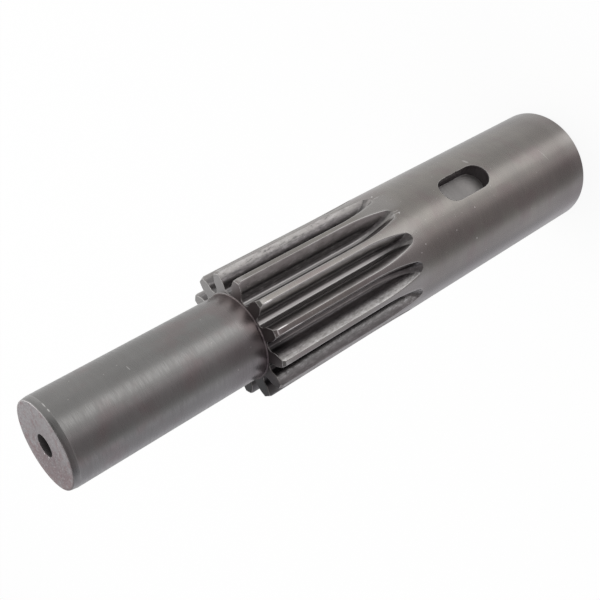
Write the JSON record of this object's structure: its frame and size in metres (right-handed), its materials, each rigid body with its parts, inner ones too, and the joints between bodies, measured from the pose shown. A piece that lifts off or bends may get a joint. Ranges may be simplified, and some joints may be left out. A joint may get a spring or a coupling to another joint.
{
  "type": "arbor press spindle",
  "caption": "Stepped steel shaft with spur teeth hobbed into its middle, a slim journal with a centre hole at one end and a keyway in the thick end, to drive the ram of a hand press.",
  "frame": {"origin": "centre of the thick end's face, on which the spindle stands", "axes": "+Z along the spindle's axis, up from the thick end to the journal's end; +X out through the middle of the keyway"},
  "size_m": [0.03, 0.03, 0.155],
  "materials": {
    "dark_steel": "turned and ground steel with a dark oiled surface, worn bright on the edges of the teeth"
  },
  "bodies": {
    "root": {"spindle": "dark_steel"}
  },
  "joints": []
}
